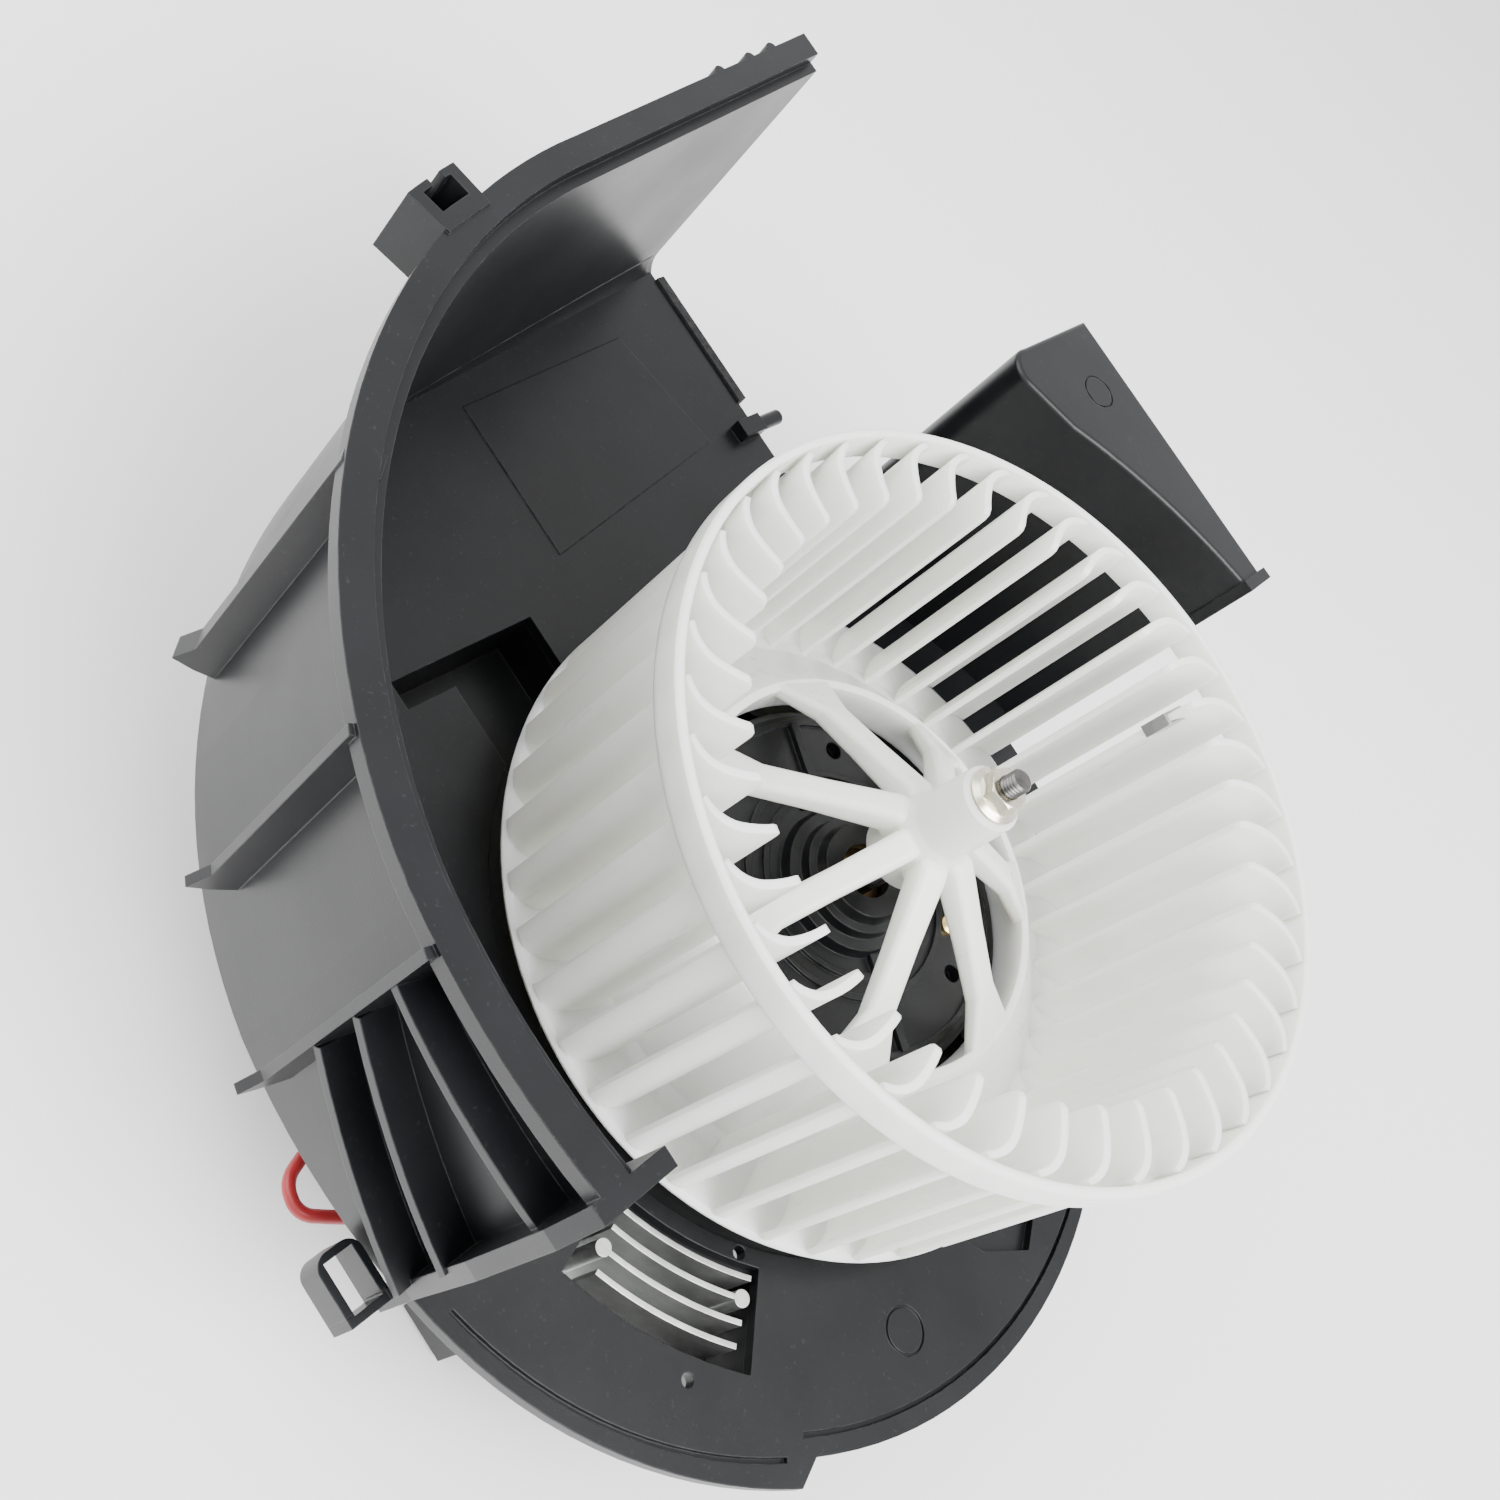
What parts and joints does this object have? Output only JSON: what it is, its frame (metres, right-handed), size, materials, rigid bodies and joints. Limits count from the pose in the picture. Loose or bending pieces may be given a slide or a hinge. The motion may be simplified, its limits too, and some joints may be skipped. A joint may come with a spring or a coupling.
{
  "type": "blower motor wheel",
  "caption": "Cabin heater blower: open half of a scroll housing, a forward-curved fan wheel on a brushed motor, and a speed regulator with a finned heat sink.",
  "frame": {"origin": "on the shaft's axis, at the flat back of the motor", "axes": "+Z along the shaft towards the wheel's open mouth, +Y the way the air leaves the outlet, +X to the right seen from the mouth with the outlet at the top"},
  "size_m": [0.267, 0.2438, 0.135],
  "materials": {
    "housing_plastic": "grained, matt",
    "wheel_plastic": "satin, a little translucent",
    "steel": "turned",
    "zinc_steel": "yellowish zinc plate",
    "can_steel": "zinc plate",
    "core_steel": "laminated",
    "copper": "enamelled",
    "brass": "satin",
    "aluminium": "extruded",
    "rubber": "matt",
    "ferrite": "ground",
    "carbon": "ground",
    "board": "lacquered",
    "red_sleeve": "satin",
    "black_sleeve": "satin",
    "foam": "open cell",
    "bush_bronze": "sintered"
  },
  "bodies": {
    "housing": {"scroll_wall": "housing_plastic", "base_plate": "housing_plastic", "tongue_box": "housing_plastic", "cooling_duct": "housing_plastic", "lead_loop": "housing_plastic", "motor_carrier": "housing_plastic", "brush_rivets": "brass", "motor_can": "can_steel", "motor_end_cap": "housing_plastic", "magnets": "ferrite", "brush_card": "housing_plastic", "brushes": "carbon", "brush_springs": "steel", "front_bush": "bush_bronze", "rear_bush": "bush_bronze", "rubber_isolators": "rubber", "carrier_screws": "zinc_steel", "regulator_case": "housing_plastic", "heat_sink": "aluminium", "control_board": "board", "socket_pins": "brass", "regulator_screws": "zinc_steel", "red_lead": "red_sleeve", "black_lead": "black_sleeve", "outlet_seal": "foam"},
    "rotor": {"blower_wheel": "wheel_plastic", "balance_clip": "can_steel", "motor_shaft": "steel", "hub_nut": "zinc_steel", "armature_core": "core_steel", "armature_windings": "copper", "commutator": "copper"}
  },
  "joints": [
    {"name": "wheel_spin", "type": "hinge", "parent": "housing", "child": "rotor", "pos_m": [0, 0, 0.05], "axis": [0, 0, 1], "continuous": true}
  ]
}
